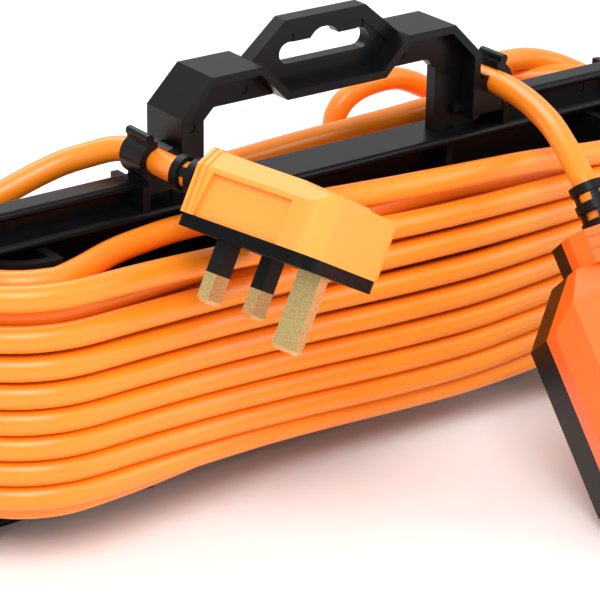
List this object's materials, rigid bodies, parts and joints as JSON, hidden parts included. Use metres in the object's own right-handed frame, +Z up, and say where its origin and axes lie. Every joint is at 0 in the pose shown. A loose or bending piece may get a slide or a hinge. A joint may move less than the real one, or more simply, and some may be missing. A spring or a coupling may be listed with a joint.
{
  "type": "extension cord",
  "caption": "Orange mains extension lead wound on a flat black H-frame carrier with a carrying handle, a three-pin plug and a single trailing socket clipped at the handle.",
  "frame": {"origin": "middle of the foot of the carrier's bottom bar, on the surface it stands on", "axes": "+X along the two bars, +Y towards the back, +Z up through the handle; plug and socket hang at the front (-Y)"},
  "size_m": [0.34, 0.1959, 0.1382],
  "materials": {
    "frame_plastic": "moulded satin",
    "cable_sheath": "soft PVC, semi-gloss",
    "plug_shell": "moulded semi-gloss",
    "plug_black": "moulded satin",
    "pin_brass": "machined, tarnished",
    "sleeve_plastic": "moulded satin",
    "fuse_ceramic": "fired, unglazed",
    "plated_steel": "zinc plated",
    "contact_brass": "stamped",
    "white_nylon": "moulded",
    "boot_rubber": "moulded matt",
    "core_brown": "extruded",
    "core_blue": "extruded",
    "core_green_yellow": "extruded",
    "socket_shell": "moulded semi-gloss",
    "socket_black": "moulded satin"
  },
  "bodies": {
    "lead": {"carrier_frame": "frame_plastic", "cord_winding": "cable_sheath", "cord_plug_tail": "cable_sheath", "cord_socket_tail": "cable_sheath", "cord_back_loop": "cable_sheath", "plug_base": "plug_black", "plug_cover": "plug_shell", "plug_cover_screw": "plated_steel", "live_pin": "pin_brass", "neutral_pin": "pin_brass", "earth_pin": "pin_brass", "live_pin_sleeve": "sleeve_plastic", "neutral_pin_sleeve": "sleeve_plastic", "fuse_tube": "fuse_ceramic", "fuse_caps": "plated_steel", "fuse_clips": "contact_brass", "plug_terminal_screws": "plated_steel", "plug_cord_grip": "white_nylon", "plug_grip_screws": "plated_steel", "plug_strain_relief": "boot_rubber", "plug_live_core": "core_brown", "plug_neutral_core": "core_blue", "plug_earth_core": "core_green_yellow", "socket_base": "socket_black", "socket_cover": "socket_shell", "socket_cover_screws": "plated_steel", "shutter_spring": "plated_steel", "live_contact": "contact_brass", "neutral_contact": "contact_brass", "earth_contact": "contact_brass", "socket_terminal_screws": "plated_steel", "socket_cord_grip": "white_nylon", "socket_grip_screws": "plated_steel", "socket_strain_relief": "boot_rubber", "socket_live_core": "core_brown", "socket_neutral_core": "core_blue", "socket_earth_core": "core_green_yellow"},
    "shutter": {"socket_shutter": "white_nylon"}
  },
  "joints": [
    {"name": "shutter_slide", "type": "slide", "parent": "lead", "child": "shutter", "axis": [-0.0033, -0.6334, -0.7738], "range_m": [0, 0.0055], "stiffness_N_per_m": 100, "springref_m": -0.006, "deforming": ["shutter_spring"]}
  ]
}
